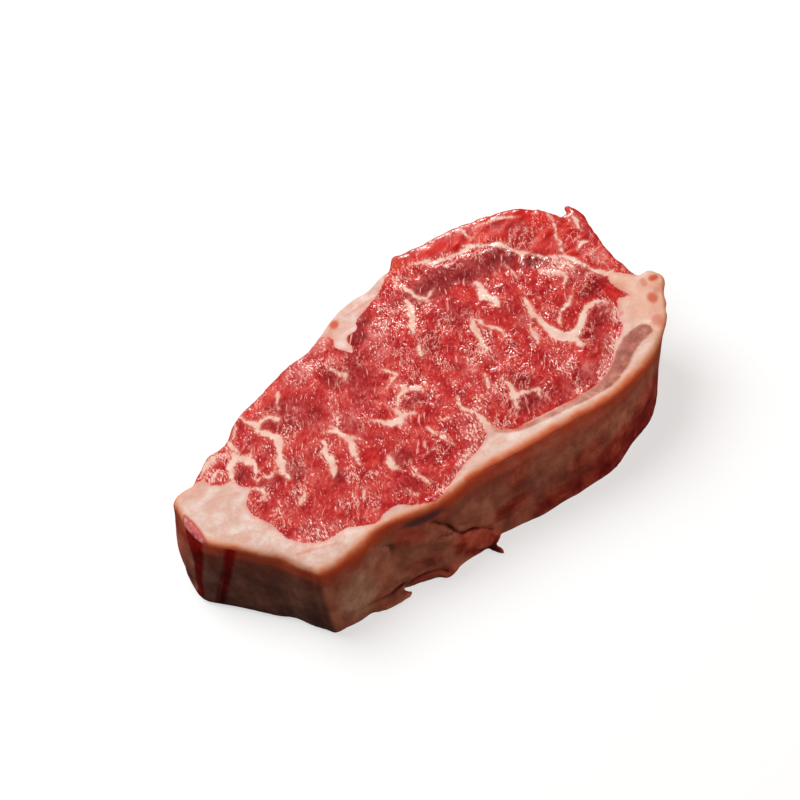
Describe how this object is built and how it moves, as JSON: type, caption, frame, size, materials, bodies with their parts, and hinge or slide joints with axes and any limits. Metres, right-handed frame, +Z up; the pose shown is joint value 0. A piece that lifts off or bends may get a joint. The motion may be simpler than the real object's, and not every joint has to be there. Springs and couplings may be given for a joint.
{
  "type": "raw sirloin steak",
  "caption": "Thick raw boneless sirloin steak of marbled red beef with a band of cream fat along one long side and round its narrow end, lying flat.",
  "frame": {"origin": "on the flat base the steak rests on, near the middle of the slice", "axes": "+X along the slice from its narrow tail end to its broad end, the fat cap faces -Y and the bone side +Y, +Z up"},
  "size_m": [0.2051, 0.122, 0.0409],
  "materials": {
    "raw_beef": "moist raw beef: red lean with cream marbling and a cream fat cap"
  },
  "bodies": {
    "root": {"steak": "raw_beef"}
  },
  "joints": []
}
